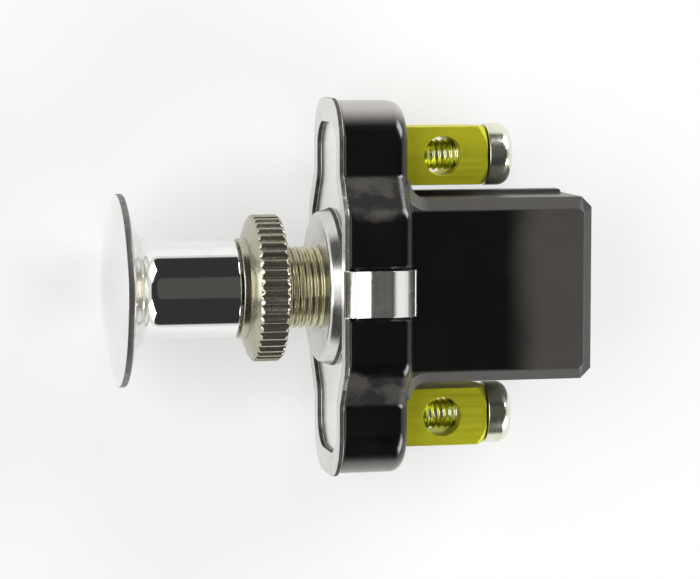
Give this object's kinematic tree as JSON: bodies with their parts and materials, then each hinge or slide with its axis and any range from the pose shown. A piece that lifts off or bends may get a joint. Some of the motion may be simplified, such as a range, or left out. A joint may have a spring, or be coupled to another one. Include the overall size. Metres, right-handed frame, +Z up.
{
  "type": "push-pull switch",
  "caption": "Panel switch worked by pulling and pushing a domed knob, with a threaded stem, knurled face nut, eared plate, moulded housing and screw terminals.",
  "frame": {"origin": "on the plunger's axis, in the plane of the raised boss that the panel seats against", "axes": "+X back along the plunger towards the rear box, +Y along the ears towards the upper terminal, +Z up from the side that the switch lies on"},
  "size_m": [0.0651, 0.051, 0.0258],
  "materials": {
    "chrome_plate": "bright chrome plate",
    "nut_nickel": "nickel plate, slightly warm",
    "plate_nickel": "bright nickel plate",
    "stem_plate": "pale plated brass",
    "screw_nickel": "nickel plate",
    "brass": "bare machined brass",
    "silver": "satin silver alloy",
    "steel": "ground steel",
    "spring_steel": "drawn spring wire",
    "phenolic": "glossy black moulding",
    "carriage_resin": "brown-black moulding",
    "fibre": "grey vulcanised fibre"
  },
  "bodies": {
    "switch_body": {"housing": "phenolic", "mounting_plate": "plate_nickel", "insulator_sheet": "fibre", "threaded_stem": "stem_plate", "terminal_post_upper": "brass", "terminal_post_lower": "brass", "fixed_contact_upper": "brass", "fixed_contact_lower": "brass", "fixed_button_upper": "silver", "fixed_button_lower": "silver"},
    "plunger": {"knob": "chrome_plate", "plunger_shaft": "steel", "moving_button_upper": "silver", "moving_button_lower": "silver", "bridging_contact": "brass", "contact_carriage": "carriage_resin", "contact_spring": "spring_steel", "fibre_washer": "fibre", "front_retaining_ring": "steel", "rear_retaining_ring": "steel", "detent_ball_near": "steel", "detent_ball_far": "steel", "detent_spring": "spring_steel"},
    "face_nut": {"face_nut": "nut_nickel"},
    "upper_screw": {"terminal_screw_upper": "screw_nickel"},
    "lower_screw": {"terminal_screw_lower": "screw_nickel"}
  },
  "joints": [
    {"name": "plunger_slide", "type": "slide", "parent": "switch_body", "child": "plunger", "axis": [-1, 0, 0], "range_m": [0, 0.0095]},
    {"name": "face_nut_travel", "type": "slide", "parent": "switch_body", "child": "face_nut", "axis": [1, 0, 0], "range_m": [0, 0.005]},
    {"name": "upper_screw_travel", "type": "slide", "parent": "switch_body", "child": "upper_screw", "axis": [1, 0, 0], "range_m": [0, 0.005]},
    {"name": "lower_screw_travel", "type": "slide", "parent": "switch_body", "child": "lower_screw", "axis": [1, 0, 0], "range_m": [0, 0.005]}
  ]
}
